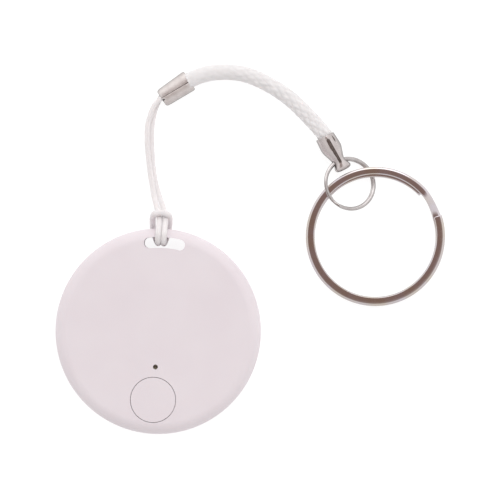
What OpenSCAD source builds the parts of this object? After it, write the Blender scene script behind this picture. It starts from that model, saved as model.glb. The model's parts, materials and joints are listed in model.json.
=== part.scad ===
// Round radio tracker tag with a cord strap, a small split ring and a key ring.
// The tag lies on its back: origin at the centre of the back face, +Z out of the front
// face, +Y towards the strap slot. Millimetres.

/* [Tag body] */
// Diameter of the round body
tag_d = 40; // [40:0.2:41]
// Thickness from the back face to the front face
tag_h = 8; // [8:0.1:8.4]
// Radius of the rounded outer edges
edge_r = 2.3; // [2:0.1:2.4]
// Thickness of the front and back walls
face_t = 1; // [0.9:0.05:1]
// Thickness of the side wall of the front shell
side_t = 1.3; // [1.1:0.1:1.4]

/* [Strap slot] */
// Radius of the slot's centre line about the body's centre
slot_r = 17.3; // [17.1:0.1:17.4]
// Width of the slot
slot_w = 2.1; // [1.9:0.1:2.2]
// Half of the slot's angle, to the centres of its round ends
slot_half_angle = 9.75; // [9:0.25:11]
// Depth of the relief in the back of the bar, where the cord passes
relief_h = 1.4; // [1.3:0.1:1.6]

/* [Button and hole] */
// Distance of the button's centre below the body's centre
button_y = 13.3; // [12.8:0.1:13.3]
// Diameter of the button cap
button_d = 8.7; // [8:0.1:8.8]
// Gap between the button cap and its opening
button_gap = 0.1; // [0.08:0.01:0.15]
// Distance of the small round hole below the body's centre
hole_y = 6.9; // [6.5:0.1:7.4]
// Diameter of the small round hole
hole_d = 0.95; // [0.8:0.05:1.2]

/* [Cell and door] */
// Diameter of the coin cell
cell_d = 20; // [20:20]
// Height of the coin cell
cell_h = 3.2; // [3.2:3.2]
// Diameter of the battery door
door_d = 21.7; // [21.5:0.1:21.9]
// Thickness of the battery door
door_t = 1.2; // [1.1:0.05:1.2]

/* [Strap] */
// Diameter of the thin loop cord
strand_d = 1; // [0.9:0.05:1.05]
// Diameter of the braided cord
braid_d = 3; // [2.8:0.1:3.2]
// Length of the crimp bead
crimp_l = 6.2; // [5.8:0.1:6.4]
// Width of the crimp bead
crimp_w = 3.6; // [3.4:0.1:3.8]
// Height of the crimp bead
crimp_h = 2.4; // [2.4:0.1:2.6]
// Length of the end cap
cap_l = 7.3; // [7:0.1:7.5]

/* [Rings] */
// Outer diameter of the key ring
key_ring_d = 27.5; // [27:0.1:28]
// Radial width of the key ring's wire
key_wire_w = 2; // [1.8:0.1:2]
// Thickness of one coil of the key ring
key_coil_t = 0.72; // [0.7:0.01:0.74]
// Outer diameter of the jump ring
jump_ring_d = 10.8; // [10.6:0.1:11]
// Radial width of the jump ring's wire
jump_wire_w = 0.9; // [0.8:0.05:0.9]
// Thickness of one coil of the jump ring
jump_coil_t = 0.35; // [0.3:0.01:0.36]

/* [Hidden] */

$fn = 96;
eps = 0.01;

// Shells
tag_r = tag_d / 2;
split_z = 4;                        // height of the parting line
inner_r = tag_r - side_t;           // front shell's cavity
inner_top = tag_h - face_t;         // inside of the front wall
inner_edge_r = edge_r - face_t;     // rounding inside the shell
rear_inner_r = 17.8;                // rear shell's cavity
lip_gap = 0.1;
lip_h = 0.9;
slot_wall = 0.9;                    // wall round the slot
relief_half_w = 4.6;                // half width of the relief behind the bar
post_r = 1;
post_place_r = 15;
post_angles = [20, 160, 215, 325];

// Battery well, door and cell
well_gap = 0.2;
well_wall = 1;
well_r = cell_d / 2 + well_gap;
door_r = door_d / 2;
door_gap = 0.1;
door_ring_r = 13;
door_ring_h = 2;
contact_gap_w = 5.4;
lug_r = 11.9;
lug_half_angle = 10;
lug_z = 0.7;
lug_angles = [60, 180, 300];
door_twist = 30;
ledge_h = lug_z - door_gap;
door_roof = door_t + door_gap;
coin_slot_l = 11;
coin_slot_w = 1.6;
coin_slot_h = 0.6;
mark_r = 0.5;
mark_depth = 0.3;
cell_z = 1.4;
cell_top = cell_z + cell_h;
can_wall = 0.25;
cap_face_r = 8.6;
gasket_w = 0.5;
cathode_h = 1.5;
separator_t = 0.1;
lithium_h = 0.6;
pellet_r = 8;

// Board and the parts on it
board_z = 5;
board_t = 0.8;
board_top = board_z + board_t;
board_r = 17.2;
chip_size = [5, 5, 0.85];
chip_at = [9, -2.6];
crystal_size = [3.2, 2.5, 0.7];
crystal_at = [9.8, 3.4];
antenna_size = [2, 7, 1];
antenna_at = [-14.2, -1.6];
passive_size = [1, 0.5, 0.45];
passive_count = 7;
passive_r = 12.6;
passive_start = 190;
passive_step = 14;
led_size = [1.6, 0.8, 0.5];

// Tact switch under the button
switch_size = [4.4, 3.4];
switch_base_h = 0.6;
switch_cover_t = 0.1;
switch_well_r = 1.4;
switch_floor_t = 0.1;
dome_r = 1.3;
dome_h = 0.35;
dome_t = 0.08;
dome_z = board_top + switch_floor_t + 0.02;
dome_ball_r = (dome_r * dome_r + dome_h * dome_h) / (2 * dome_h);
plunger_z = dome_z + dome_h + 0.03;
plunger_flange_r = 1.15;
plunger_flange_h = 0.08;
plunger_stem_r = 0.75;
cap_bottom_z = inner_top - 0.25;    // underside of the button cap
flange_top_z = inner_top - 0.05;
flange_extra = 0.6;                 // how far the cap's flange reaches past it
flange_limit_r = 17.55;             // the flange stays clear of the side wall

// Sounder
sounder_at = [0, 3];
brass_r = 6;
brass_t = 0.15;
ceramic_r = 4.4;
ceramic_t = 0.15;
sounder_ring_h = 0.2;
sounder_ring_w = 1;
brass_top = inner_top - sounder_ring_h;
brass_z = brass_top - brass_t;
ceramic_z = brass_z - ceramic_t;
finger_t = 0.12;
finger_w = 1;
finger_l = 3.2;
finger_foot = 1.2;

// Strap: where the cords run. Each route's points were placed by hand.
strand_r = strand_d / 2;
braid_r = braid_d / 2;
cord_sides = 8;
loop_route = [
    [-2, 46.2, 1.65], [-2.8, 45.3, 1.65], [-3.65, 43.5, 1.6], [-4.2, 41, 1.55],
    [-4.2, 38.2, 1.55], [-4, 35.4, 1.55], [-3.6, 32.9, 1.6], [-3.35, 30.3, 1.8],
    [-2.9, 27.9, 2.1], [-2.5, 26.4, 2.55], [-2.05, 24.9, 3.3], [-1.75, 23.4, 4.2],
    [-1.6, 22.1, 5.3], [-1.6, 21, 6.7], [-1.6, 20, 7.9], [-1.6, 18.9, 8.65],
    [-1.6, 17.7, 8.3], [-1.6, 17.2, 7], [-1.6, 17.2, 4.5], [-1.65, 17.2, 2.2],
    [-1.9, 17.7, 0.85], [-2.3, 18.8, 0.65], [-2.6, 20.1, 0.75], [-2.7, 21, 1.8],
    [-2.7, 21.5, 3.2], [-2.7, 22, 4.6], [-2.4, 22.65, 5.85], [-1.05, 23, 6.4],
    [0.3, 22.65, 5.85], [0.6, 22, 4.6], [0.6, 21.5, 3.2], [0.6, 21, 1.8],
    [0.5, 20.1, 0.75], [0.2, 18.8, 0.65], [-0.2, 17.7, 0.85], [-0.45, 17.2, 2.2],
    [-0.5, 17.2, 4.5], [-0.5, 17.2, 7], [-0.5, 17.7, 8.3], [-0.5, 18.9, 8.65],
    [-0.5, 20, 7.9], [-0.5, 21, 6.7], [-0.5, 22.1, 5.3], [-0.75, 23.3, 3.9],
    [-1.35, 24.7, 2.3], [-1.95, 26.3, 1.2], [-2.6, 28.6, 0.7], [-3.45, 31, 0.6],
    [-4.15, 33.5, 0.5], [-4.6, 36.2, 0.5], [-4.8, 39.2, 0.5], [-4.65, 42, 0.5],
    [-4, 44.2, 0.6], [-3.1, 45.5, 0.6], [-2.2, 46.2, 0.6]
];
braid_route = [
    [2.1, 49.1, 1.5], [3.6, 49.95, 1.5], [5.4, 50.7, 1.5], [7.4, 51.2, 1.5], [9.6, 51.45, 1.5],
    [11.8, 51.4, 1.5], [14, 51.05, 1.5], [16.2, 50.35, 1.5], [18.4, 49.4, 1.5],
    [20.5, 48.3, 1.5], [22.5, 47, 1.5], [24.4, 45.5, 1.5], [26.2, 43.9, 1.55],
    [27.8, 42.4, 1.8], [29, 41.2, 2.05], [29.95, 40, 2.2], [30.7, 38.8, 2.3]
];

// Crimp bead
crimp_at = [0.15, 47.7, 0];
crimp_turn = 37.5;
crimp_wall = 0.35;
crimp_corner_r = 0.8;
crimp_seam_w = 0.15;

// End cap and rings: the eye's place and how the rings lie
eye_at = [32.7, 35.65, 2.3];
eye_turn = 31;                      // direction of the eye's axis in the XY plane
eye_tilt = 20.6;                    // how far the eye's axis dips towards +X
eye_r = 0.8;
eye_to_tip = 1.75;
cap_top_r = 1.9;
cap_belly_r = 2.05;
cap_belly_y = 3.4;
cap_neck = [1.1, 1.45];             // half width and half height at the eye
cap_tip = [1.45, 1.3];
cap_socket_r = 1.65;
cap_socket_depth = 3;

jump_mid_r = (jump_ring_d - jump_wire_w) / 2;
jump_centre = 4.83;                 // from the eye's axis to the jump ring's centre
jump_jog = 205;                     // where the jump ring's coils step
key_mid_r = (key_ring_d - key_wire_w) / 2;
key_at = [41.05, 21.55, 1.6];
key_turn = 30.3;
key_tilt = 3.4;
key_jog = 4.4;                      // where the key ring's coils step
jog_half = 12.3;                    // half the angle of the step
coil_gap = 0.04;
ring_step = 6;                      // angle between a coil's cross-sections
bevel = 0.28;                       // share of a coil's section that is bevelled

// ---------------------------------------------------------------- shared shapes

// A round body with rounded edges, between two heights
module pebble(r, z0, z1, er) {
    h = z1 - z0;
    translate([0, 0, z0])
        rotate_extrude()
            intersection() {
                square([r, h]);
                union() {
                    square([r - er, h]);
                    translate([0, er]) square([r, h - 2 * er]);
                    translate([r - er, er]) circle(er);
                    translate([r - er, h - er]) circle(er);
                }
            }
}

module slab(z0, z1) {
    translate([-tag_d, -tag_d, z0]) cube([2 * tag_d, 2 * tag_d, z1 - z0]);
}

module ring(r0, r1, z0, z1) {
    translate([0, 0, z0])
        difference() {
            cylinder(r = r1, h = z1 - z0);
            translate([0, 0, -eps]) cylinder(r = r0, h = z1 - z0 + 2 * eps);
        }
}

// A slice of a round, between two angles less than 120 degrees apart
module sector(r, a0, a1, z0, z1) {
    reach = 2 * r;
    translate([0, 0, z0])
        linear_extrude(z1 - z0)
            intersection() {
                circle(r);
                polygon(concat([[0, 0]], [for (a = [a0, (a0 + a1) / 2, a1]) reach * [cos(a), sin(a)]]));
            }
}

// The slot's outline, made wider by a margin all round
module slot_outline(margin) {
    w = slot_w + 2 * margin;
    reach = 2 * slot_r;
    wide = reach * tan(slot_half_angle);
    intersection() {
        difference() {
            circle(slot_r + w / 2);
            circle(slot_r - w / 2);
        }
        polygon([[0, 0], [wide, reach], [-wide, reach]]);
    }
    for (side = [-1, 1])
        rotate(side * slot_half_angle)
            translate([0, slot_r]) circle(w / 2);
}

module slot_column(margin, z0, z1) {
    translate([0, 0, z0]) linear_extrude(z1 - z0) slot_outline(margin);
}

module block(size, at, z) {
    translate([at[0] - size[0] / 2, at[1] - size[1] / 2, z]) cube(size);
}

function unit(v) = v / norm(v);
function heading(p, i) = unit(p[min(i + 1, len(p) - 1)] - p[max(i - 1, 0)]);
// A side direction at each point that turns with the curve and doesn't twist
function sides_along(p, i, u) = i == len(p) ? [] :
    let (t = heading(p, i), v = unit(u - (u * t) * t))
    concat([v], sides_along(p, i + 1, v));

// Faces of a row of cross-sections with n corners each, closed at both ends
function skin(rows, n) = concat(
    [[for (j = [0 : n - 1]) j]],
    [for (i = [0 : rows - 2]) for (j = [0 : n - 1])
        [i * n + j, (i + 1) * n + j, (i + 1) * n + (j + 1) % n, i * n + (j + 1) % n]],
    [[for (j = [n - 1 : -1 : 0]) (rows - 1) * n + j]]);

module tube(route, r) {
    u = sides_along(route, 0, [0.1, 0.2, 1]);
    points = [for (i = [0 : len(route) - 1]) for (j = [0 : cord_sides - 1])
        let (a = 360 * j / cord_sides, t = heading(route, i))
        route[i] + r * (cos(a) * u[i] + sin(a) * cross(t, u[i]))];
    polyhedron(points, skin(len(route), cord_sides));
}

// A two-coil split ring: one wire that goes round twice and steps up once
module split_ring(mid_r, wire_w, coil_t, jog) {
    rise = coil_t + coil_gap;
    bw = bevel * coil_t;
    w = wire_w / 2;
    h = coil_t / 2;
    section = [
        [w - bw, -h], [-w + bw, -h], [-w, -h + bw], [-w, h - bw],
        [-w + bw, h], [w - bw, h], [w, h - bw], [w, -h + bw]
    ];
    n = len(section);
    steps = ceil((720 - 2 * jog_half) / ring_step);
    a0 = jog + jog_half - 360;
    a1 = jog - jog_half + 360;
    points = [for (i = [0 : steps]) for (s = section)
        let (
            a = a0 + (a1 - a0) * i / steps,
            f = min(1, max(0, (a - jog + jog_half) / (2 * jog_half))),
            z = (f * f * (3 - 2 * f) - 0.5) * rise
        )
        [(mid_r + s[0]) * cos(a), (mid_r + s[0]) * sin(a), z + s[1]]];
    polyhedron(points, skin(steps + 1, n));
}

// ---------------------------------------------------------------- shells and door

module front_shell() {
    color("#ece6e8")
    difference() {
        union() {
            difference() {
                intersection() {
                    pebble(tag_r, 0, tag_h, edge_r);
                    slab(split_z, tag_h + 1);
                }
                pebble(inner_r, face_t, inner_top, inner_edge_r);
            }
            intersection() {
                pebble(tag_r, 0, tag_h, edge_r);
                slot_column(slot_wall, split_z, tag_h + 1);
            }
            translate([sounder_at[0], sounder_at[1], 0])
                ring(brass_r - sounder_ring_w, brass_r, brass_top, inner_top + eps);
            for (a = post_angles)
                rotate([0, 0, a])
                    translate([post_place_r, 0, board_top])
                        cylinder(r = post_r, h = inner_top - board_top + eps);
        }
        slot_column(0, 0, tag_h + 1);
        translate([0, -button_y, 0]) cylinder(r = button_d / 2 + button_gap, h = tag_h + 1);
        translate([0, -hole_y, 0]) cylinder(r = hole_d / 2, h = tag_h + 1);
    }
}

module rear_shell() {
    color("#e8e2e4")
    difference() {
        union() {
            difference() {
                intersection() {
                    pebble(tag_r, 0, tag_h, edge_r);
                    slab(-1, split_z);
                }
                translate([0, 0, face_t]) cylinder(r = rear_inner_r, h = tag_h);
            }
            difference() {
                ring(rear_inner_r, inner_r - lip_gap, split_z - 1, split_z + lip_h);
                slot_column(slot_wall + lip_gap, split_z, tag_h);
            }
            intersection() {
                pebble(tag_r, 0, tag_h, edge_r);
                slot_column(slot_wall, 0, split_z);
            }
            cylinder(r = door_ring_r, h = door_ring_h);
            cylinder(r = well_r + well_wall, h = board_z);
            for (a = post_angles)
                rotate([0, 0, a])
                    translate([post_place_r, 0, eps])
                        cylinder(r = post_r, h = board_z - eps);
        }
        translate([0, 0, -1]) cylinder(r = well_r, h = tag_h);
        translate([0, 0, -1]) cylinder(r = door_r + door_gap, h = door_roof + 1);
        for (a = lug_angles) {
            sector(lug_r + door_gap, a - lug_half_angle - 1, a + door_twist,
                ledge_h, door_roof);
            sector(lug_r + door_gap, a + door_twist - lug_half_angle - 1,
                a + door_twist + lug_half_angle + 1, -1, door_roof);
        }
        slot_column(0, -1, tag_h);
        intersection() {
            slab(-1, relief_h);
            translate([-relief_half_w, slot_r, -1]) cube([2 * relief_half_w, tag_r, tag_h]);
        }
        translate([cell_d / 2 - 1, -contact_gap_w / 2, door_ring_h + 0.1])
            cube([3, contact_gap_w, tag_h]);
    }
}

module battery_door() {
    color("#e4dee0")
    difference() {
        union() {
            cylinder(r = door_r, h = door_t);
            for (a = lug_angles)
                sector(lug_r, a - lug_half_angle, a + lug_half_angle, lug_z, door_t);
        }
        translate([-coin_slot_l / 2, -coin_slot_w / 2, -1])
            cube([coin_slot_l, coin_slot_w, coin_slot_h + 1]);
        for (side = [-1, 1])
            translate([side * coin_slot_l / 2, 0, -1])
                cylinder(r = coin_slot_w / 2, h = coin_slot_h + 1);
        translate([0, door_r - 2, -1]) cylinder(r = mark_r, h = mark_depth + 1);
    }
}

module button_cap() {
    color("#eee8ea")
    union() {
        translate([0, -button_y, cap_bottom_z])
            cylinder(r = button_d / 2, h = tag_h - cap_bottom_z);
        intersection() {
            translate([0, -button_y, cap_bottom_z])
                cylinder(r = button_d / 2 + flange_extra, h = flange_top_z - cap_bottom_z);
            cylinder(r = flange_limit_r, h = tag_h);
        }
    }
}

// ---------------------------------------------------------------- board and its parts

module circuit_board() {
    color("#1f5c35")
    difference() {
        translate([0, 0, board_z]) cylinder(r = board_r, h = board_t);
        slot_column(slot_wall + 0.3, 0, tag_h);
    }
}

module radio_chip() {
    color("#222222") block(chip_size, chip_at, board_top);
}

module crystal() {
    color("#c9c9cc") block(crystal_size, crystal_at, board_top);
}

module chip_antenna() {
    color("#f1efe6") block(antenna_size, antenna_at, board_top);
}

module passives() {
    color("#8a6a4a")
    for (i = [0 : passive_count - 1])
        rotate([0, 0, passive_start + i * passive_step - (i > 3 ? -100 : 0)])
            block(passive_size, [passive_r, 0], board_top);
}

module status_led() {
    color("#fbf7e0") block(led_size, [0, -hole_y], board_top);
}

module switch_base() {
    color("#303030")
    difference() {
        block([switch_size[0], switch_size[1], switch_base_h], [0, -button_y], board_top);
        translate([0, -button_y, board_top + switch_floor_t])
            cylinder(r = switch_well_r, h = switch_base_h);
    }
}

module switch_dome() {
    color("#d8d8da")
    intersection() {
        translate([0, -button_y, dome_z + dome_h - dome_ball_r])
            difference() {
                sphere(dome_ball_r);
                sphere(dome_ball_r - dome_t);
            }
        slab(dome_z, tag_h);
    }
}

module switch_cover() {
    color("#c4c4c6")
    difference() {
        block([switch_size[0], switch_size[1], switch_cover_t], [0, -button_y],
            board_top + switch_base_h);
        translate([0, -button_y, 0]) cylinder(r = plunger_stem_r + button_gap, h = tag_h);
    }
}

module switch_plunger() {
    color("#404040")
    translate([0, -button_y, plunger_z]) {
        cylinder(r = plunger_flange_r, h = plunger_flange_h);
        cylinder(r = plunger_stem_r, h = cap_bottom_z - plunger_z);
    }
}

module sounder_disc() {
    color("#c9a24a")
    translate([sounder_at[0], sounder_at[1], brass_z]) cylinder(r = brass_r, h = brass_t);
}

module sounder_ceramic() {
    color("#e9e6dc")
    translate([sounder_at[0], sounder_at[1], ceramic_z]) cylinder(r = ceramic_r, h = ceramic_t);
}

// A springy finger: a flat foot on the board and an arm that slopes up
module finger(rise) {
    rotate([90, 0, 0])
        linear_extrude(finger_w, center = true)
            polygon([
                [0, 0], [finger_foot, 0], [finger_l, rise - finger_t],
                [finger_l, rise], [finger_foot, finger_t], [0, finger_t]
            ]);
}

module sounder_contacts() {
    color("#d6b45c") {
        translate([-1.5, sounder_at[1], board_top]) finger(ceramic_z - board_top - eps);
        translate([-8.4, sounder_at[1], board_top]) finger(brass_z - board_top - eps);
    }
}

// ---------------------------------------------------------------- coin cell and contacts

module battery_can() {
    color("#c8cacc")
    difference() {
        translate([0, 0, cell_z]) cylinder(r = cell_d / 2, h = cell_h - 0.3);
        translate([0, 0, cell_z + can_wall]) cylinder(r = cell_d / 2 - can_wall, h = cell_h);
    }
}

module battery_gasket() {
    color("#50504e")
    ring(cell_d / 2 - can_wall - gasket_w, cell_d / 2 - can_wall, cell_z + can_wall, cell_top - 0.15);
}

module battery_cap() {
    color("#d4d6d8")
    difference() {
        union() {
            translate([0, 0, cell_top - 1]) cylinder(r = cell_d / 2 - can_wall - gasket_w, h = 0.85);
            translate([0, 0, cell_top - 0.5]) cylinder(r = cap_face_r, h = 0.5);
        }
        translate([0, 0, cell_z]) cylinder(r = cap_face_r - 0.3, h = cell_h - can_wall);
    }
}

module cathode_pellet() {
    color("#2b2b2b") translate([0, 0, cell_z + can_wall]) cylinder(r = pellet_r, h = cathode_h);
}

module separator_disc() {
    color("#f4f2ea")
    translate([0, 0, cell_z + can_wall + cathode_h]) cylinder(r = pellet_r + 0.2, h = separator_t);
}

module lithium_disc() {
    color("#b9bcc0")
    translate([0, 0, cell_z + can_wall + cathode_h + separator_t])
        cylinder(r = pellet_r - 0.5, h = lithium_h);
}

module positive_contact() {
    color("#d9c07a")
    translate([cell_d / 2 + 0.02, 2, 0])
        rotate([90, 0, 0])
            linear_extrude(4)
                polygon([
                    [0, 2.2], [0.15, 2.2], [0.15, board_z - 0.15],
                    [1.6, board_z - 0.15], [1.6, board_z], [0, board_z]
                ]);
}

module negative_contact() {
    color("#d9c07a")
    translate([0, 1.5, 0])
        rotate([90, 0, 0])
            linear_extrude(3)
                polygon([
                    [-7, board_z - 0.15], [-3, board_z - 0.15], [3, cell_top + 0.02],
                    [3, cell_top + 0.14], [-2.8, board_z], [-7, board_z]
                ]);
}

// ---------------------------------------------------------------- strap

module loop_cord() {
    color("#eeeaea") tube(loop_route, strand_r);
}

module braided_cord() {
    color("#efecec") tube(braid_route, braid_r);
}

module round_box_2d(w, h, r) {
    square([w - 2 * r, h], center = true);
    square([w, h - 2 * r], center = true);
    for (x = [-1, 1]) for (y = [-1, 1])
        translate([x * (w / 2 - r), y * (h / 2 - r)]) circle(r);
}

module crimp_bead() {
    color("#b9b4ae")
    translate([crimp_at[0], crimp_at[1], crimp_h / 2])
        rotate([0, 0, crimp_turn])
            rotate([90, 0, 90])
                linear_extrude(crimp_l, center = true)
                    difference() {
                        round_box_2d(crimp_w, crimp_h, crimp_corner_r);
                        round_box_2d(crimp_w - 2 * crimp_wall, crimp_h - 2 * crimp_wall,
                            crimp_corner_r - crimp_wall);
                        translate([-crimp_seam_w / 2, 0]) square([crimp_seam_w, crimp_h]);
                    }
}

// The frame at the end cap's eye: X along the eye's axis, +Y back along the cap
module at_eye() {
    translate(eye_at) rotate([0, 0, eye_turn]) rotate([0, eye_tilt, 0]) children();
}

module cap_disc(w, h, y) {
    translate([0, y, 0])
        rotate([90, 0, 0])
            scale([w / h, 1, 1])
                cylinder(r = h, h = 0.1, $fn = 32);
}

module cord_end_cap() {
    top_y = cap_l - eye_to_tip;
    color("#c6c4c2")
    at_eye()
        difference() {
            union() {
                hull() {
                    cap_disc(cap_top_r, cap_top_r, top_y);
                    cap_disc(cap_belly_r, cap_top_r, cap_belly_y);
                }
                hull() {
                    cap_disc(cap_belly_r, cap_top_r, cap_belly_y);
                    cap_disc(cap_neck[0], cap_neck[1], 0);
                }
                hull() {
                    cap_disc(cap_neck[0], cap_neck[1], 0);
                    cap_disc(cap_tip[0], cap_tip[1], -0.95);
                    cap_disc(0.7, 0.8, 0.1 - eye_to_tip);
                }
            }
            rotate([0, 90, 0]) cylinder(r = eye_r, h = 8, center = true);
            translate([0, top_y - cap_socket_depth, 0])
                rotate([-90, 0, 0]) cylinder(r = cap_socket_r, h = cap_socket_depth + 1);
        }
}

module jump_ring() {
    color("#cfcdca")
    at_eye()
        translate([0, -jump_centre, 0])
            split_ring(jump_mid_r, jump_wire_w, jump_coil_t, jump_jog);
}

module key_ring() {
    color("#b8b2ac")
    translate(key_at)
        rotate([0, 0, key_turn])
            rotate([key_tilt, 0, 0])
                split_ring(key_mid_r, key_wire_w, key_coil_t, key_jog);
}

front_shell();
rear_shell();
battery_door();
button_cap();
circuit_board();
radio_chip();
crystal();
chip_antenna();
passives();
status_led();
switch_base();
switch_dome();
switch_plunger();
switch_cover();
sounder_disc();
sounder_ceramic();
sounder_contacts();
battery_can();
battery_gasket();
battery_cap();
cathode_pellet();
separator_disc();
lithium_disc();
positive_contact();
negative_contact();
loop_cord();
crimp_bead();
braided_cord();
cord_end_cap();
jump_ring();
key_ring();
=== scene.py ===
import json
import math

import bmesh
import bpy
import numpy as np
from mathutils import Matrix, Vector


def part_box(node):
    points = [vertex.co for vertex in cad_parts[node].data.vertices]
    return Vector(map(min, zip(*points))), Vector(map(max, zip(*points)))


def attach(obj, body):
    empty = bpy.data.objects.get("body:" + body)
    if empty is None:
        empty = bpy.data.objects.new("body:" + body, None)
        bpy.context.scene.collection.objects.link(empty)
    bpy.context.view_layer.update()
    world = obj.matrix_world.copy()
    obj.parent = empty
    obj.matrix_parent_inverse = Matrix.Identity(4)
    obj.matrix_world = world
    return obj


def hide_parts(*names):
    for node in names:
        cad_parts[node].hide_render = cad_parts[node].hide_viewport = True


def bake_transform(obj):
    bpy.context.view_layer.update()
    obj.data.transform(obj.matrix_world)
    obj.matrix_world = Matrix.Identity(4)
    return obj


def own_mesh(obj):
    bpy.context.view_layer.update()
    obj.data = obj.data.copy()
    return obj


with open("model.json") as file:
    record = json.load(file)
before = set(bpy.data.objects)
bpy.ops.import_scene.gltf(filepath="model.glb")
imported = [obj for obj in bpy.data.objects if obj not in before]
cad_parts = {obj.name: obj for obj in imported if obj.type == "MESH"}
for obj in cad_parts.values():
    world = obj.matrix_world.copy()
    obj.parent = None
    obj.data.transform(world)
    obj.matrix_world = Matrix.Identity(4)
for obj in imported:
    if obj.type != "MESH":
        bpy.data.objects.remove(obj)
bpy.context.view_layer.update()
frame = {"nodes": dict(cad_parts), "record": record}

MM = 0.001

# ------------------------------------------------------------------ sizes, in millimetres

# The two cords' routes. The loop's two sides lie next to each other
LOOP_ROUTE = [
    (-2, 46.2, 1.65), (-2.9, 45.35, 1.65), (-4.05, 43.9, 1.6), (-4.7, 42, 1.55),
    (-5.08, 40, 1.5), (-5.02, 38, 1.5), (-4.85, 36, 1.5), (-4.54, 34.1, 1.5),
    (-4.2, 32.2, 1.6), (-3.79, 30.2, 1.8), (-3.25, 28, 2.1), (-2.88, 26.4, 2.55),
    (-2.35, 24.9, 3.3), (-1.85, 23.4, 4.2), (-1.4, 22.1, 5.3), (-1.3, 21, 6.7),
    (-1.3, 20, 7.9), (-1.3, 18.9, 8.65), (-1.3, 17.7, 8.3), (-1.3, 17.2, 7),
    (-1.3, 17.2, 4.5), (-1.4, 17.2, 2.2), (-1.75, 17.7, 0.85), (-2.2, 18.8, 0.65),
    (-2.6, 20.1, 0.75), (-2.7, 21, 1.8), (-2.7, 21.5, 3.2), (-2.7, 22, 4.6),
    (-2.4, 22.7, 5.85), (-1.05, 23.1, 6.4), (0.3, 22.7, 5.85), (0.6, 22, 4.6),
    (0.6, 21.5, 3.2), (0.6, 21, 1.8), (0.5, 20.1, 0.75), (0.3, 18.8, 0.65),
    (0, 17.7, 0.85), (-0.2, 17.2, 2.2), (-0.2, 17.2, 4.5), (-0.2, 17.2, 7),
    (-0.2, 17.7, 8.3), (-0.2, 18.9, 8.65), (-0.2, 20, 7.9), (-0.2, 21, 6.7),
    (-0.25, 22.1, 5.3), (-0.6, 23.3, 3.9), (-1.1, 24.7, 2.3), (-1.85, 26.4, 1.2),
    (-2.6, 28.4, 0.7), (-3.1, 30.2, 0.6), (-3.5, 32.2, 0.5), (-3.77, 34.1, 0.5),
    (-4.01, 36, 0.5), (-4.16, 38, 0.5), (-4.22, 40, 0.5), (-4.05, 42, 0.5),
    (-3.65, 43.9, 0.6), (-3.05, 45.4, 0.6), (-2.2, 46.2, 0.6),
]
BRAID_ROUTE = [
    (2.1, 49.1, 1.5), (3.6, 49.95, 1.5), (5.4, 50.7, 1.5), (7.4, 51.2, 1.5), (9.6, 51.45, 1.5),
    (11.8, 51.4, 1.5), (14, 51.05, 1.5), (16.2, 50.35, 1.5), (18.4, 49.4, 1.5),
    (20.5, 48.3, 1.5), (22.5, 47, 1.5), (24.4, 45.5, 1.5), (26.2, 43.9, 1.55),
    (27.8, 42.4, 1.8), (29, 41.2, 2.05), (29.95, 40, 2.2), (30.7, 38.8, 2.3),
]
STRAND_D = 1.0
BRAID_D = 3.0

# How each cord is braided: the step along it, the points round it, the strands seen across
# one turn, and the length of one turn
LOOP_LAY = (0.13, 20, 5, 3.6)
BRAID_LAY = (0.16, 64, 8, 20.8)

# How deep the weave is on each cord, and how far each spreads over its plain radius: the
# loop in its hitch, and the braid as it leaves the crimp
LOOP_WEAVE = 0.03
LOOP_SWELL = 0.03
HITCH_SWELL = 0.12
HITCH_AT = 50                      # along the cord
HITCH_REACH = 24
BRAID_WEAVE = (0.04, 0.28)
BRAID_SWELL = (0.05, 0.09)

# The crimp bead's centre, direction and size
CRIMP_AT = (0.02, 47.45, 1.2)
CRIMP_TURN = 37.5
CRIMP_L = 6.2
CRIMP_W = 4.0
CRIMP_H = 2.4
CRIMP_WALL = 0.35
CRIMP_TAPER = -0.075               # the braid's end is wider than the loop's
CRIMP_SEAM = (0.1, 0.15)           # how far the seam lies to one side, and its slant
CRIMP_MOUTH = (0.6, 0.22, 0.45)    # the open corner beside the cord: side, half width, depth
CRIMP_SQUARE = (0.92, 0.85)        # powers under 1 square the section off, across and up
CRIMP_DIP = (0.06, 0.3)            # the dip on both sides of the seam: depth, reach
CRIMP_EDGE = (0.02, 0.05)          # the rolled edge at the seam itself
CRIMP_LIFT = (0.14, 0.35, 0.22)    # the sheet stands up at the braid's end: height, side, half

# The sleeve's size at each station, from -1 at the loop's end to 1 at the braid's
CRIMP_STATIONS = [
    (-1.12, 0.76), (-1.115, 0.82), (-1.09, 0.89), (-1.04, 0.95), (-0.95, 0.99), (-0.85, 1),
    (-0.6, 1), (-0.3, 1), (0, 1), (0.3, 1), (0.5, 1), (0.6, 1), (0.7, 1), (0.8, 1),
    (0.86, 0.995), (0.92, 0.975), (0.96, 0.94), (0.98, 0.9), (0.985, 0.85),
]

# The end cap's eye, and the frame at the eye: X along the eye's axis, +Y up the cap
EYE_AT = (32.7, 35.65, 2.3)
EYE_TURN = 31
EYE_TILT = 20.6
EYE_R = 0.5                        # the bore, round the jump ring's wire
CAP_TOP_Y = 5.55
CAP_SOCKET_R = 1.65
CAP_SOCKET_DEPTH = 3.0
CAP_LEAN = -0.052                  # how far the cap leans to one side along its length
CAP_PANELS = 1.62                  # under 2 flattens the section into four panels
CAP_GROOVE_AT = 15                 # degrees from the top, where the folded sheet meets
CAP_GROOVE = (4.85, -0.45)         # the groove's two ends along the cap
CAP_GROOVE_HALF = 0.31             # its half width
CAP_GROOVE_DEPTH = 0.17
CAP_CREASE_AT = -0.7               # radians from the groove
CAP_CREASE = (5.3, 1.6)
CAP_CREASE_HALF = 0.045            # radians
CAP_CREASE_DEPTH = 0.08
CAP_STREAK = (5.3, 3.6)            # where the crease carries a streak of painted shade
CAP_STREAK_HALF = 0.11             # radians
CAP_STEP = 0.11                    # between its sections

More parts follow.
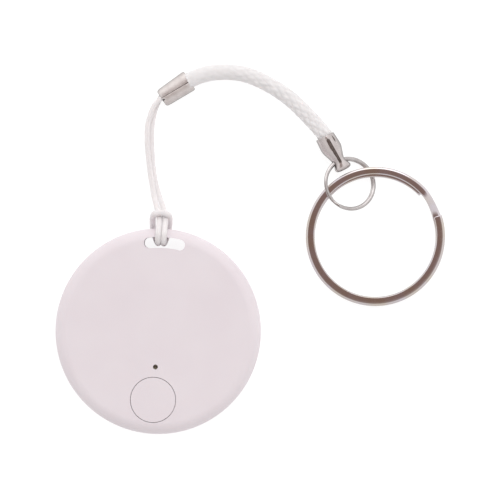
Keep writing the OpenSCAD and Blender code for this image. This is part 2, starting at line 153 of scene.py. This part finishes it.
# The split rings. A wire is its width, its thickness, and how far its inner and outer
# edges are rounded. The lower coil lies inside the upper one by the first inset all the
# way round, and by the second as well at the angle given, where the upper coil's inner
# side is also narrower by the fourth number. The last says how fast that fades
JUMP_MID_R = 5.0
JUMP_WIRE = (0.7, 0.36, 0.3, 0.3)
JUMP_CENTRE = (-0.13, -4.9)        # from the eye
JUMP_JOG = 205
JUMP_INSET = (0.1, 0.06, 150, 0, 3)
KEY_MID_R = 12.76
KEY_WIRE = (1.74, 0.72, 0.15, 0.55)
KEY_AT = (40.91, 21.5, 1.6)
KEY_TURN = 30.3
KEY_TILT = 3.4
KEY_JOG = 4.4
KEY_INSET = (0.04, 0.27, 59, 0.3, 6)
JOG_HALF = 12.3
JOG_PINCH = 0.14                   # how much the wire narrows at its step
COIL_GAP = 0.04
WIRE_CROWN = 0.03                  # how much its flat faces bulge, as a share of the wire
WIRE_STATIONS = 421
WIRE_END = 0.12                    # how far back the cut ends are rounded
WIRE_END_SIZES = [0.86, 0.95, 1.0]

# The switch's snap dome
DOME_T = 0.08

EDGE_ROUND = 0.1                   # on the moulded plastic parts

CAMERA_AT = (16.66, 17.08, 850)
CAMERA_TURN = 4.17
CAMERA_LENS = 312.4

# The studio, in metres: a light is its place, size and power, and the tent's strength goes
# from the dim side to the bright side. Its top changes tone between the two heights
MIDDLE = (0.017, 0.017, 0)
FLOOR_REACH = 3.0
FLOOR_Z = -0.00005
FLOOR_GLOW = 0.83
KEY_LIGHT = ((0.1, 0.45, 0.95), 0.45, 2.6)
SOFT_BOX = ((0.1, 0.75, 0.8), 0.7, 1.2)
TENT_STRENGTH = (0.69, 0.98)
TENT_SIDE = 0.8
TENT_WALL = (0.91, (0.98, 0.96, 0.955, 1))
TENT_TOP = (0.975, (0.275, 0.19, 0.165, 1))


# ------------------------------------------------------------------ shared geometry

def smooth_path(route, step):
    """Points about a step apart on one smooth curve through the route's points."""
    p = np.array(route, float)
    dense = []
    for i in range(len(p) - 1):
        a, b, c, d = p[max(i - 1, 0)], p[i], p[i + 1], p[min(i + 2, len(p) - 1)]
        for t in np.linspace(0, 1, 24, endpoint=False):
            dense.append(0.5 * (2 * b + (c - a) * t + (2 * a - 5 * b + 4 * c - d) * t ** 2
                                + (3 * b - a - 3 * c + d) * t ** 3))
    dense.append(p[-1])
    dense = np.array(dense)
    along = np.concatenate([[0], np.cumsum(np.linalg.norm(np.diff(dense, axis=0), axis=1))])
    count = int(round(along[-1] / step)) + 1
    want = np.linspace(0, along[-1], count)
    points = np.stack([np.interp(want, along, column) for column in dense.T], axis=1)
    return points, want


def frames_along(points, first_up):
    """Side and up directions at each point, which turn with the curve only."""
    heading = np.gradient(points, axis=0)
    heading /= np.linalg.norm(heading, axis=1)[:, None]
    up = np.array(first_up, float)
    ups = []
    for t in heading:
        up = up - up.dot(t) * t
        up /= np.linalg.norm(up)
        ups.append(up)
    ups = np.array(ups)
    return np.cross(heading, ups), ups


def skin(rows, columns):
    """Faces of a row of closed cross-sections with the same number of points."""
    faces = []
    for i in range(rows - 1):
        for j in range(columns):
            k = (j + 1) % columns
            faces.append((i * columns + j, (i + 1) * columns + j, (i + 1) * columns + k,
                          i * columns + k))
    faces.append(tuple(range(columns)))
    faces.append(tuple(reversed(range((rows - 1) * columns, rows * columns))))
    return faces


def add_piece(name, points, faces, material, body, sharp=40, uv=None):
    mesh = bpy.data.meshes.new(name)
    mesh.from_pydata([tuple(p) for p in np.array(points, float) * MM], [], faces)
    mesh.materials.append(material)
    mesh.shade_smooth()
    if uv is not None:
        layer = mesh.uv_layers.new(name="along")
        corners = np.zeros(len(mesh.loops), int)
        mesh.loops.foreach_get("vertex_index", corners)
        layer.data.foreach_set("uv", np.array(uv, np.float32)[corners].ravel())
    mesh.validate()
    turn_outward(mesh)
    mesh.set_sharp_from_angle(angle=math.radians(sharp))
    obj = bpy.data.objects.new(name, mesh)
    bpy.context.scene.collection.objects.link(obj)
    if body:
        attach(obj, body)
    return obj


def turn_outward(mesh):
    """Makes every face's normal point out of the solid."""
    work = bmesh.new()
    work.from_mesh(mesh)
    bmesh.ops.recalc_face_normals(work, faces=work.faces)
    if work.calc_volume(signed=True) < 0:
        bmesh.ops.reverse_faces(work, faces=work.faces)
    work.to_mesh(mesh)
    work.free()


def ease(value):
    """Rises smoothly from 0 to 1 as value goes from 0 to 1."""
    v = np.clip(value, 0, 1)
    return v * v * (3 - 2 * v)


def place(points, matrix):
    """Points in a local frame, in millimetres, moved into the row frame."""
    m = np.array(matrix)
    return np.array(points, float) @ m[:3, :3].T + m[:3, 3]


def eye_matrix():
    turn = Matrix.Rotation(math.radians(EYE_TURN), 4, "Z")
    tilt = Matrix.Rotation(math.radians(EYE_TILT), 4, "Y")
    return Matrix.Translation(EYE_AT) @ turn @ tilt


# ------------------------------------------------------------------ materials

class Shader:
    """A Principled material and short ways to add the nodes that feed it."""

    def __init__(self, name):
        self.material = bpy.data.materials.new(name)
        self.material.use_nodes = True
        self.tree = self.material.node_tree
        self.bsdf = self.tree.nodes["Principled BSDF"]
        self.place = self.tree.nodes.new("ShaderNodeTexCoord").outputs["Object"]

    def set(self, **sockets):
        for key, value in sockets.items():
            self.bsdf.inputs[key.replace("_", " ")].default_value = value

    def node(self, kind, inputs, **settings):
        n = self.tree.nodes.new(kind)
        for key, value in settings.items():
            setattr(n, key, value)
        for key, value in inputs.items():
            if isinstance(value, bpy.types.NodeSocket):
                self.tree.links.new(value, n.inputs[key])
            else:
                n.inputs[key].default_value = value
        return n

    def noise(self, size, detail=3, roughness=0.5, vector=None):
        """Noise with features about size millimetres across."""
        n = self.node("ShaderNodeTexNoise", {
            "Vector": vector or self.place, "Scale": 1 / (size * MM), "Detail": detail,
            "Roughness": roughness})
        return n.outputs["Fac"]

    def between(self, fac, low, high, from_min=0.3, from_max=0.7):
        n = self.node("ShaderNodeMapRange", {
            "Value": fac, "From Min": from_min, "From Max": from_max, "To Min": low,
            "To Max": high})
        return n.outputs["Result"]

    def colours(self, fac, stops):
        n = self.tree.nodes.new("ShaderNodeValToRGB")
        while len(n.color_ramp.elements) < len(stops):
            n.color_ramp.elements.new(0.5)
        for element, (at, colour) in zip(n.color_ramp.elements, stops):
            element.position = at
            element.color = (*colour, 1)
        self.tree.links.new(fac, n.inputs["Fac"])
        return n.outputs["Color"]

    def math(self, operation, a, b):
        return self.node("ShaderNodeMath", {0: a, 1: b}, operation=operation).outputs[0]

    def base(self, colour):
        self.tree.links.new(colour, self.bsdf.inputs["Base Color"])

    def rough(self, value):
        self.tree.links.new(value, self.bsdf.inputs["Roughness"])

    def bump(self, height, depth, strength=1.0):
        """Height from 0 to 1 as relief of the given depth in millimetres."""
        n = self.node("ShaderNodeBump", {
            "Height": height, "Distance": depth * MM, "Strength": strength})
        self.tree.links.new(n.outputs["Normal"], self.bsdf.inputs["Normal"])


def plastic_material():
    """Matte moulded plastic: a fine spark-eroded grain and faint tone changes."""
    s = Shader("matte_white_plastic")
    tone = s.noise(9, detail=2)
    s.base(s.colours(tone, [(0.3, (0.765, 0.70, 0.735)), (0.7, (0.785, 0.725, 0.757))]))
    grain = s.noise(0.16, detail=2)
    s.rough(s.between(s.noise(2.5, detail=4), 0.46, 0.56))
    s.bump(grain, 0.006, 0.5)
    s.set(Subsurface_Weight=0.05, Subsurface_Radius=(0.6, 0.45, 0.4), Subsurface_Scale=0.001)
    return s.material


def cord_material(name, colour, depth):
    """White filament yarn: fine lines of this depth along each strand, and a soft sheen."""
    s = Shader(name)
    uv = s.node("ShaderNodeUVMap", {}, uv_map="along").outputs["UV"]
    low = tuple(0.93 * c for c in colour)
    s.base(s.colours(s.noise(1.2, detail=4), [(0.3, low), (0.7, colour)]))
    wave = s.node("ShaderNodeTexWave", {
        "Vector": uv, "Scale": 1.0, "Distortion": 1.5, "Detail": 2},
        wave_type="BANDS", bands_direction="DIAGONAL")
    fibre = s.math("MULTIPLY", wave.outputs["Fac"], 0.6)
    fuzz = s.math("MULTIPLY", s.noise(0.12, detail=3), 0.4)
    s.bump(s.math("ADD", fibre, fuzz), depth, 0.6)
    s.rough(s.between(s.noise(0.4, detail=2), 0.62, 0.78))
    s.set(Sheen_Weight=0.25, Sheen_Roughness=0.45, Subsurface_Weight=0.5,
          Subsurface_Radius=(0.9, 0.85, 0.82), Subsurface_Scale=0.0012)
    return s.material


def metal_material(name, dark, light, rough_low, rough_high, scratch=0.0015, flank=0.55,
                   crown=0.72, patch=3.0):
    """Plated metal: uneven polish, fine wear scratches, and painted shade that darkens the flanks.

    Faces whose normal's height is over crown have the full colour. Steeper faces have it scaled
    down towards flank, as painted shade."""
    s = Shader(name)
    s.set(Metallic=1.0)
    plate = s.colours(s.noise(patch, detail=4), [(0.35, dark), (0.65, light)])
    # Painted shade: the base colour drops from 1 at crown to flank as the face turns from up to the
    # side, so flanks and silhouettes read darker
    normal = s.tree.nodes.new("ShaderNodeTexCoord").outputs["Normal"]
    split = s.node("ShaderNodeSeparateXYZ", {0: normal})
    height = s.math("ABSOLUTE", split.outputs["Z"], 0.0)
    flank_painted_shade = s.between(height, flank, 1.0, 0.2, crown)
    s.base(s.node("ShaderNodeVectorMath", {0: plate, "Scale": flank_painted_shade}, operation="SCALE").outputs[0])
    s.rough(s.between(s.noise(0.7, detail=5, roughness=0.65), rough_low, rough_high))
    stretched = s.node("ShaderNodeMapping", {
        "Vector": s.place, "Scale": (0.15, 1.0, 1.0), "Rotation": (0.2, 0.1, 0.6)})
    s.bump(s.noise(0.12, detail=4, vector=stretched.outputs["Vector"]), scratch, 0.5)
    return s.material


def flat_finish(name, low, high, size, rough, metallic=0.0):
    """A plain inner part: two close tones, uneven gloss and a fine grain."""
    s = Shader(name)
    s.set(Metallic=metallic)
    s.base(s.colours(s.noise(size, detail=4), [(0.35, low), (0.65, high)]))
    s.rough(s.between(s.noise(size * 0.4, detail=3), rough - 0.06, rough + 0.06))
    s.bump(s.noise(0.15, detail=3), 0.004, 0.5)
    return s.material


def board_material():
    """Green solder mask over faint copper runs and pads."""
    s = Shader("solder_mask")
    cells = s.node("ShaderNodeTexVoronoi", {
        "Vector": s.place, "Scale": 1 / (1.7 * MM), "Randomness": 0.25},
        distance="MANHATTAN", feature="F1")
    runs = s.between(cells.outputs["Distance"], 0, 1, 0.42, 0.5)
    s.base(s.colours(runs, [(0.0, (0.012, 0.09, 0.035)), (1.0, (0.03, 0.17, 0.07))]))
    s.rough(s.between(s.noise(0.8), 0.22, 0.34))
    s.bump(runs, 0.02, 0.8)
    return s.material


def finish_cad_nodes():
    """Gives every CAD node its material and smooth shading between its real edges."""
    chip = flat_finish("moulded_black", (0.018, 0.018, 0.019), (0.03, 0.03, 0.031), 0.5, 0.55)
    steel = flat_finish("rolled_steel", (0.60, 0.60, 0.61), (0.72, 0.72, 0.72), 2.0, 0.28, 1.0)
    brass = flat_finish("rolled_brass", (0.62, 0.42, 0.14), (0.74, 0.54, 0.22), 1.5, 0.3, 1.0)
    fired = flat_finish("fired_white", (0.78, 0.75, 0.66), (0.86, 0.83, 0.75), 0.8, 0.5)
    tan = flat_finish("fired_tan", (0.30, 0.18, 0.09), (0.42, 0.28, 0.15), 0.3, 0.5)
    resin = flat_finish("lamp_resin", (0.85, 0.80, 0.55), (0.93, 0.89, 0.68), 0.4, 0.15)
    paper = flat_finish("separator_paper", (0.82, 0.80, 0.74), (0.9, 0.88, 0.83), 0.3, 0.8)
    lithium = flat_finish("soft_grey_metal", (0.42, 0.43, 0.45), (0.52, 0.53, 0.55), 1.0, 0.45, 1.0)
    bright = metal_material("node_nickel", (0.62, 0.58, 0.57), (0.70, 0.66, 0.65), 0.08, 0.16)
    by_slot = {
        "shell_plastic": plastic_material(), "board": board_material(), "chip_black": chip,
        "chip_tan": tan, "lamp_resin": resin, "ceramic_white": fired, "sheet_steel": steel,
        "sounder_brass": brass, "separator_paper": paper, "lithium_metal": lithium,
        "white_cord": paper, "satin_nickel": bright, "bright_nickel": bright,
    }
    for row in frame["record"]["subparts"]:
        obj = frame["nodes"][row["node"]]
        obj.data.materials.clear()
        obj.data.materials.append(by_slot[row["material_slot"]])
        obj.data.shade_smooth()
        obj.data.set_sharp_from_angle(angle=math.radians(28))


# ------------------------------------------------------------------ strap

def braid_height(turn, along, strands, pitch):
    """Relief of a round diamond braid, from 0 in the gaps to 1 on a strand's crown."""
    u = strands * (turn + along / pitch)
    v = strands * (turn - along / pitch)
    over = (np.floor(u) + np.floor(v)) % 2 < 0.5
    across = np.where(over, u, v) % 1
    length = np.where(over, v, u) % 1
    return np.sin(np.pi * across) ** 0.8 * (0.6 + 0.4 * np.sin(np.pi * length))


def cord_piece(name, route, diameter, lay, relief, swell, material, body):
    """A braided cord along a route, with its weave as real relief.

    relief and swell give the weave's depth and the added radius at a length along it."""
    step, sides, strands, pitch = lay
    points, along = smooth_path(route, step)
    side, up = frames_along(points, (0.1, 0.2, 1))
    turn = np.arange(sides) / sides
    angle = 2 * np.pi * turn
    t, s = np.meshgrid(turn, along)
    sunk = relief(s) * (1 - braid_height(t, s, strands, pitch))
    radius = diameter / 2 + swell(s) - sunk
    ring = (np.cos(angle)[None, :, None] * up[:, None, :]
            + np.sin(angle)[None, :, None] * side[:, None, :])
    vertices = (points[:, None, :] + radius[:, :, None] * ring).reshape(-1, 3)
    uv = np.stack([t * strands, s * strands / pitch], axis=-1).reshape(-1, 2)
    obj = add_piece(name, vertices, skin(len(points), sides), material, body,
                    sharp=70, uv=uv)
    return obj, [tuple(p * MM) for p in points[::4]], along[-1] * MM


def loop_cord():
    white = cord_material("loop_yarn", (0.81, 0.78, 0.785), 0.02)

    def relief(s):
        return np.full_like(s, LOOP_WEAVE)

    def swell(s):
        hitched = np.exp(-((s - HITCH_AT) / HITCH_REACH) ** 4)
        return LOOP_SWELL + (HITCH_SWELL - LOOP_SWELL) * hitched

    obj, path, length = cord_piece("loop_cord_strands", LOOP_ROUTE, STRAND_D, LOOP_LAY, relief,
                                   swell, white, None)
    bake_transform(obj)
    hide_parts("loop_cord")


def braided_cord():
    white = cord_material("braid_yarn", (0.80, 0.785, 0.79), 0.03)

    def relief(s):
        low, high = BRAID_WEAVE
        return low + (high - low) * ease((s - 3) / 14)

    def swell(s):
        low, high = BRAID_SWELL
        return low + (high - low) * ease(s / 20)

    obj, path, length = cord_piece("braided_cord_rope", BRAID_ROUTE, BRAID_D, BRAID_LAY, relief,
                                   swell, white, "strap")
    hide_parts("braided_cord")


def crimp_section(lift, seam):
    """The folded sleeve's outline: two round lobes that meet at a seam, and its inside."""
    half_w, half_h = CRIMP_W / 2, CRIMP_H / 2
    _, side, half = CRIMP_LIFT
    outer = []
    inner = []
    # From one lip of the seam all the way round to the other
    for degrees in (89.2, 88.0, *np.linspace(86, -266, 117), -268.0, -269.2):
        a = math.radians(degrees)
        c, s = math.cos(a), math.sin(a)
        x = half_w * math.copysign(abs(c) ** CRIMP_SQUARE[0], c) + seam * (1 - abs(c))
        z = half_h * math.copysign(abs(s) ** CRIMP_SQUARE[1], s)
        inner.append((x * (1 - CRIMP_WALL / half_w), z * (1 - CRIMP_WALL / half_h) * 0.9))
        if s > 0:
            fold = abs(x - seam)
            z -= CRIMP_DIP[0] * math.exp(-fold / CRIMP_DIP[1])
            z -= CRIMP_EDGE[0] * math.exp(-(fold / CRIMP_EDGE[1]) ** 2)
            z += lift * math.exp(-((x - seam - side) / half) ** 2)
        outer.append((x, z))
    return outer + inner[::-1]


def crimp_bead():
    """A sleeve folded round both cords, with rounded ends and an open corner at one. Its inside and
    the seam's lips carry a dark painted shade material.
    """
    satin = metal_material("satin_nickel_plate", (0.80, 0.745, 0.73), (0.90, 0.85, 0.83), 0.38,
                           0.48, scratch=0.006, flank=0.25, crown=0.93, patch=1.2)
    # Painted shade: a dark brown finish that stands in for the shade inside the sleeve and along
    # its seam
    shade = flat_finish("crimp_painted_shade", (0.26, 0.21, 0.195), (0.40, 0.335, 0.315), 0.9, 0.4)
    m = Matrix.Translation(CRIMP_AT) @ Matrix.Rotation(math.radians(CRIMP_TURN), 4, "Z")
    side, half, depth = CRIMP_MOUTH
    rows = []
    for at, size in CRIMP_STATIONS:
        lift = CRIMP_LIFT[0] * float(ease((at - 0.6) / 0.25))
        wide = size * (1 - CRIMP_TAPER * at)
        notch = depth * float(ease((-at - 0.9) / 0.2))
        row = []
        for x, z in crimp_section(lift, CRIMP_SEAM[0] + CRIMP_SEAM[1] * at):
            open_corner = notch * math.exp(-((x - side) / half) ** 2) * (z > 0)
            row.append((at * CRIMP_L / 2 + open_corner, -x * wide, z * size))
        rows.append(row)
    columns = len(rows[0])
    points = place([p for row in rows for p in row], m)
    obj = add_piece("crimp_sleeve", points, skin(len(rows), columns), satin, "strap",
                    sharp=50)
    obj.data.materials.append(shade)
    # Painted shade on the seam's two lips, the link to the inner wall, and the whole inner wall
    painted_shade_faces = (0, *range(columns // 2 - 2, columns))
    for i in range(len(rows) - 1):
        for j in painted_shade_faces:
            obj.data.polygons[i * columns + j].material_index = 1
    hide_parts("crimp_bead")
    return obj


# The cap's outline from its mouth to its foot: distance along, half width, half height,
# and how far the section sits to one side
CAP_OUTLINE = [
    (5.55, 1.84, 1.8, 0), (5.48, 1.9, 1.86, 0), (5.2, 1.94, 1.89, 0), (4.6, 1.98, 1.9, 0),
    (3.7, 2.04, 1.9, 0), (3.0, 2.06, 1.88, 0), (2.4, 1.95, 1.82, 0), (1.6, 1.67, 1.7, 0),
    (0.8, 1.38, 1.56, 0), (0.2, 1.23, 1.46, 0), (-0.25, 1.22, 1.4, 0.02), (-0.6, 1.34, 1.38, 0.05),
    (-1.0, 1.56, 1.36, 0.08), (-1.35, 1.68, 1.32, 0.1), (-1.65, 1.62, 1.2, 0.1),
    (-1.85, 1.42, 1.02, 0.1), (-1.97, 1.05, 0.78, 0.1), (-2.02, 0.5, 0.4, 0.1),
]


def cap_angles():
    """Angles from the groove round the cap, close together at the groove and the crease."""
    groove = np.arange(-18, 18.1, 1.5)
    crease = np.arange(-47, -33, 1.4)
    plain = [a for a in np.arange(-178, 180, 4.0)
             if not (-20 < a < 20 or -49 < a < -31.5)]
    return np.radians(np.sort(np.concatenate([groove, crease, plain])))


def groove_depth(y, radius, off):
    """From 0 outside the open fold to 1 on its floor; its two ends are round."""
    top, bottom = CAP_GROOVE
    inside = float(np.clip(min(top - y, y - bottom) / 0.35, 0, 1))
    half = CAP_GROOVE_HALF / radius * math.sqrt(1 - (1 - inside) ** 2)
    return float(ease((half - abs(off)) / 0.05 + 0.5)) * (inside > 0)


def crease_depth(y, off):
    """From 0 to 1 in the fold line beside the groove, deepest near the mouth."""
    top, bottom = CAP_CREASE
    fade = float(ease((top - y) / 0.25) * ease((y - bottom) / 2.8))
    return fade * math.exp(-((off - CAP_CREASE_AT) / CAP_CREASE_HALF) ** 2)


def cap_section(w, h, y, side):
    """A section of four soft panels, round at the foot, with the fold and the crease."""
    row = []
    power = 2 - (2 - CAP_PANELS) * float(ease((y + 0.7) / 1.4))
    for off in cap_angles():
        c, s = abs(math.cos(off)), abs(math.sin(off))
        panel = (c ** power + s ** power) ** (-1 / power)
        sunk = CAP_GROOVE_DEPTH * groove_depth(y, h, off)
        sunk += CAP_CREASE_DEPTH * crease_depth(y, off)
        press = panel * (1 - sunk / h)
        a = math.radians(CAP_GROOVE_AT) + off
        row.append((side + CAP_LEAN * y - w * math.sin(a) * press, y, h * math.cos(a) * press))
    return row


def cap_socket():
    """The round socket that the braid is pushed into, from its floor to the mouth."""
    rows = []
    for y, r in ((CAP_TOP_Y - CAP_SOCKET_DEPTH, CAP_SOCKET_R), (CAP_TOP_Y - 0.2, CAP_SOCKET_R),
                 (CAP_TOP_Y - 0.06, CAP_SOCKET_R + 0.03), (CAP_TOP_Y, CAP_SOCKET_R + 0.09)):
        rows.append([(0.6 * CAP_LEAN * y - r * math.sin(off), y, r * math.cos(off))
                     for off in cap_angles() + math.radians(CAP_GROOVE_AT)])
    return rows


def cord_end_cap():
    """A cap pressed from folded sheet, with an eye through its neck and a bell foot. The fold's
    groove and a streak along the crease carry a near-black painted shade material.
    """
    bright = metal_material("cap_nickel_plate", (0.72, 0.66, 0.65), (0.84, 0.78, 0.77), 0.22, 0.3,
                            flank=0.22, crown=0.95, patch=1.5)
    # Painted shade: a near-black finish for the groove's floor and the crease's streak, standing in
    # for the shade inside the fold
    shade = flat_finish("cap_fold_painted_shade", (0.075, 0.054, 0.046), (0.13, 0.10, 0.09), 0.5, 0.4)
    rows = cap_socket()
    inner = len(rows)
    outline, _ = smooth_path(CAP_OUTLINE, CAP_STEP)
    for y, w, h, side in outline:
        rows.append(cap_section(w, h, y, side))
    columns = len(rows[0])
    faces = skin(len(rows), columns)
    points = place([p for row in rows for p in row], eye_matrix())
    obj = add_piece("end_cap", points, faces, bright, "strap", sharp=60)
    obj.data.materials.append(shade)
    angles = cap_angles()
    # Faces in the groove or in the crease's streak get the painted shade material
    for i, (y, _, h, _) in enumerate(outline[:-1]):
        down = float(np.clip((CAP_STREAK[0] - y) / (CAP_STREAK[0] - CAP_STREAK[1]), 0, 1))
        streak = CAP_STREAK_HALF * math.sin(math.pi * down)
        for j, off in enumerate(angles[:-1]):
            middle = (off + angles[j + 1]) / 2
            dark = groove_depth(y, h, middle) > 0.4 or abs(middle - CAP_CREASE_AT) < streak
            obj.data.polygons[(inner + i) * columns + j].material_index = int(dark)
    bore_eye(obj)
    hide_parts("cord_end_cap")
    return obj


def bore_eye(obj):
    """Cuts the round eye through the cap's neck."""
    sides = 40
    ring = [2 * math.pi * k / sides for k in range(sides)]
    points = [(x, EYE_R * math.cos(a), EYE_R * math.sin(a)) for x in (-4, 4) for a in ring]
    points = place(points, eye_matrix())
    mesh = bpy.data.meshes.new("eye_cutter")
    mesh.from_pydata([tuple(p) for p in points * MM], [], skin(2, sides))
    turn_outward(mesh)
    cutter = bpy.data.objects.new("eye_cutter", mesh)
    bpy.context.scene.collection.objects.link(cutter)
    cut = obj.modifiers.new("eye", "BOOLEAN")
    cut.operation = "DIFFERENCE"
    cut.solver = "EXACT"
    cut.object = cutter
    bpy.context.view_layer.update()
    solid = obj.evaluated_get(bpy.context.evaluated_depsgraph_get())
    made = bpy.data.meshes.new_from_object(solid)
    obj.modifiers.clear()
    obj.data = made
    made.set_sharp_from_angle(angle=math.radians(50))
    bpy.data.objects.remove(cutter)


def wire_section(width, thick, inner, outer):
    """A flattened wire's section: nearly flat faces between its two rounded edges."""
    steps = 7
    half_w, half_h = width / 2, thick / 2
    crown = WIRE_CROWN * thick
    side_h = half_h - crown
    arc = [math.pi / 2 * k / steps for k in range(steps + 1)]
    top = [(half_w - outer + outer * math.cos(a), side_h * math.sin(a)) for a in arc]
    flat = width - outer - inner
    for u in (0.2, 0.4, 0.6, 0.8):
        top.append((half_w - outer - flat * u, side_h + crown * 4 * u * (1 - u)))
    top += [(inner - half_w - inner * math.cos(a), side_h * math.sin(a)) for a in arc[::-1]]
    return top + [(x, -z) for x, z in top[-2:0:-1]]


def split_ring(name, mid_r, wire, jog, inset, matrix, material, body, node):
    """One wire that goes round twice and steps up once, with neatly cut ends.

    The lower coil lies inside the upper one, as inset says."""
    rise = wire[1] + COIL_GAP
    section = wire_section(*wire)
    low, high, high_at, narrow, fading = inset
    a0 = jog + JOG_HALF - 360
    a1 = jog - JOG_HALF + 360
    turns = list(np.linspace(a0, a1, WIRE_STATIONS))
    end = math.degrees(WIRE_END / mid_r)
    turns = [a0, a0 + end * 0.3, a0 + end] + turns[2:-2] + [a1 - end, a1 - end * 0.3, a1]
    sizes = WIRE_END_SIZES + [1.0] * (len(turns) - 6) + WIRE_END_SIZES[::-1]
    points = []
    for a, size in zip(turns, sizes):
        step = (a - jog + JOG_HALF) / (2 * JOG_HALF)
        up = float(ease(step))
        z = (up - 0.5) * rise
        near = abs(math.cos(math.radians(a - high_at) / 2)) ** fading
        inside = low + high * near
        inner_side = 1 - up * near * narrow / (wire[0] / 2)
        pinch = 1 - JOG_PINCH * math.sin(math.pi * min(1.0, max(0.0, step))) ** 0.5
        c, s = math.cos(math.radians(a)), math.sin(math.radians(a))
        for x, y in section:
            if x < 0:
                x *= inner_side
            r = mid_r - (1 - up) * inside + x * size * pinch
            points.append((r * c, r * s, z + y * size))
    obj = add_piece(name, place(points, matrix), skin(len(turns), len(section)), material, body,
                    sharp=55)
    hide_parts(node)
    return obj


def jump_ring():
    bright = metal_material("jump_ring_nickel", (0.54, 0.505, 0.50), (0.66, 0.63, 0.625), 0.1, 0.18,
                            flank=0.25, crown=0.9, patch=1.5)
    m = eye_matrix() @ Matrix.Translation((*JUMP_CENTRE, 0))
    return split_ring("jump_ring_coils", JUMP_MID_R, JUMP_WIRE, JUMP_JOG, JUMP_INSET, m, bright,
                      "small_ring", "jump_ring")


def key_ring():
    bright = metal_material("key_ring_nickel", (0.80, 0.725, 0.66), (0.83, 0.775, 0.83), 0.07, 0.15,
                            flank=0.5, crown=0.97, patch=3.5)
    m = (Matrix.Translation(KEY_AT) @ Matrix.Rotation(math.radians(KEY_TURN), 4, "Z")
         @ Matrix.Rotation(math.radians(KEY_TILT), 4, "X"))
    return split_ring("key_ring_coils", KEY_MID_R, KEY_WIRE, KEY_JOG, KEY_INSET, m, bright,
                      "large_ring", "key_ring")


# ------------------------------------------------------------------ tag

def snap_dome():
    """The switch's thin snap dome."""
    steel = flat_finish("dome_steel", (0.60, 0.60, 0.61), (0.72, 0.72, 0.72), 0.6, 0.28, 1.0)
    low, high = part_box("switch_dome")
    x, y = (low.x + high.x) / 2 / MM, (low.y + high.y) / 2 / MM
    foot = low.z / MM
    reach, rise = (high.x - low.x) / 2 / MM, (high.z - low.z) / MM
    ball = (reach ** 2 + rise ** 2) / (2 * rise)
    outer = [(r, math.sqrt(ball ** 2 - r ** 2) - ball + rise)
             for r in np.linspace(0.04, reach, 16)]
    inner = [(r - DOME_T * 0.6, max(z - DOME_T, 0.0) + 0.002) for r, z in outer[::-1]
             if r > 0.2]
    profile = outer + inner
    sides = 48
    points = []
    for r, z in profile:
        for k in range(sides):
            a = 2 * math.pi * k / sides
            points.append((x + r * math.cos(a), y + r * math.sin(a), foot + z))
    obj = add_piece("snap_dome", points, skin(len(profile), sides), steel, "tag")
    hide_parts("switch_dome")
    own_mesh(obj)


def soften_edges(node):
    """Small round edges where the moulding has them."""
    bevel = frame["nodes"][node].modifiers.new("soft_edges", "BEVEL")
    bevel.width = EDGE_ROUND * MM
    bevel.segments = 3
    bevel.limit_method = "ANGLE"
    bevel.angle_limit = math.radians(35)
    bevel.harden_normals = True


# ------------------------------------------------------------------ camera, floor and light

def camera():
    """Straight down on the object, from far off, turned as the tag lies."""
    data = bpy.data.cameras.new("camera")
    data.sensor_width = 36
    data.lens = CAMERA_LENS
    data.clip_end = 50
    obj = bpy.data.objects.new("camera", data)
    obj.location = tuple(MM * c for c in CAMERA_AT)
    obj.rotation_euler = (0, 0, math.radians(CAMERA_TURN))
    bpy.context.scene.collection.objects.link(obj)
    bpy.context.scene.camera = obj


def floor():
    """A wide plain white floor that glows a little, so that it reads as pure white."""
    reach = FLOOR_REACH
    mesh = bpy.data.meshes.new("floor")
    mesh.from_pydata([(-reach, -reach, 0), (reach, -reach, 0), (reach, reach, 0),
                      (-reach, reach, 0)], [], [(0, 1, 2, 3)])
    s = Shader("pale_floor")
    s.base(s.colours(s.noise(60, detail=2), [(0.3, (0.27, 0.27, 0.27)), (0.7, (0.29, 0.29, 0.29))]))
    s.set(Roughness=0.9, Emission_Color=(1, 1, 1, 1), Emission_Strength=FLOOR_GLOW)
    mesh.materials.append(s.material)
    obj = bpy.data.objects.new("floor", mesh)
    obj.location = (MIDDLE[0], MIDDLE[1], FLOOR_Z)
    bpy.context.scene.collection.objects.link(obj)


def world_light():
    """A white studio tent, brighter on the +Y side, with an open dim top."""
    world = bpy.data.worlds.new("studio")
    bpy.context.scene.world = world
    world.use_nodes = True
    tree = world.node_tree
    link = tree.links.new
    back = tree.nodes["Background"]
    where = tree.nodes.new("ShaderNodeTexCoord").outputs["Generated"]
    split = tree.nodes.new("ShaderNodeSeparateXYZ")
    link(where, split.inputs[0])
    side = tree.nodes.new("ShaderNodeMapRange")
    link(split.outputs["Y"], side.inputs["Value"])
    side.inputs["From Min"].default_value = -TENT_SIDE
    side.inputs["From Max"].default_value = TENT_SIDE
    side.inputs["To Min"].default_value = TENT_STRENGTH[0]
    side.inputs["To Max"].default_value = TENT_STRENGTH[1]
    top = tree.nodes.new("ShaderNodeValToRGB")
    for element, (height, tone) in zip(top.color_ramp.elements, (TENT_WALL, TENT_TOP)):
        element.position = height
        element.color = tone
    link(split.outputs["Z"], top.inputs["Fac"])
    link(top.outputs["Color"], back.inputs["Color"])
    link(side.outputs["Result"], back.inputs["Strength"])


def area_light(name, at, size, power, reflected=False):
    """A soft box aimed at the middle of the object."""
    data = bpy.data.lights.new(name, "AREA")
    data.shape = "SQUARE"
    data.size = size
    data.energy = power
    obj = bpy.data.objects.new(name, data)
    obj.location = at
    aim = Vector(MIDDLE) - Vector(at)
    obj.rotation_euler = aim.to_track_quat("-Z", "Y").to_euler()
    obj.visible_glossy = reflected
    bpy.context.scene.collection.objects.link(obj)


def studio():
    bpy.context.scene.view_settings.view_transform = "Standard"
    floor()
    world_light()
    area_light("key", *KEY_LIGHT)
    area_light("soft_box", *SOFT_BOX, reflected=True)


camera()
studio()
finish_cad_nodes()
loop_cord()
crimp = crimp_bead()
cap = cord_end_cap()
rings = [jump_ring(), key_ring()]
braided_cord()
snap_dome()
for shell in ("front_shell", "rear_shell", "battery_door", "button_cap"):
    soften_edges(shell)
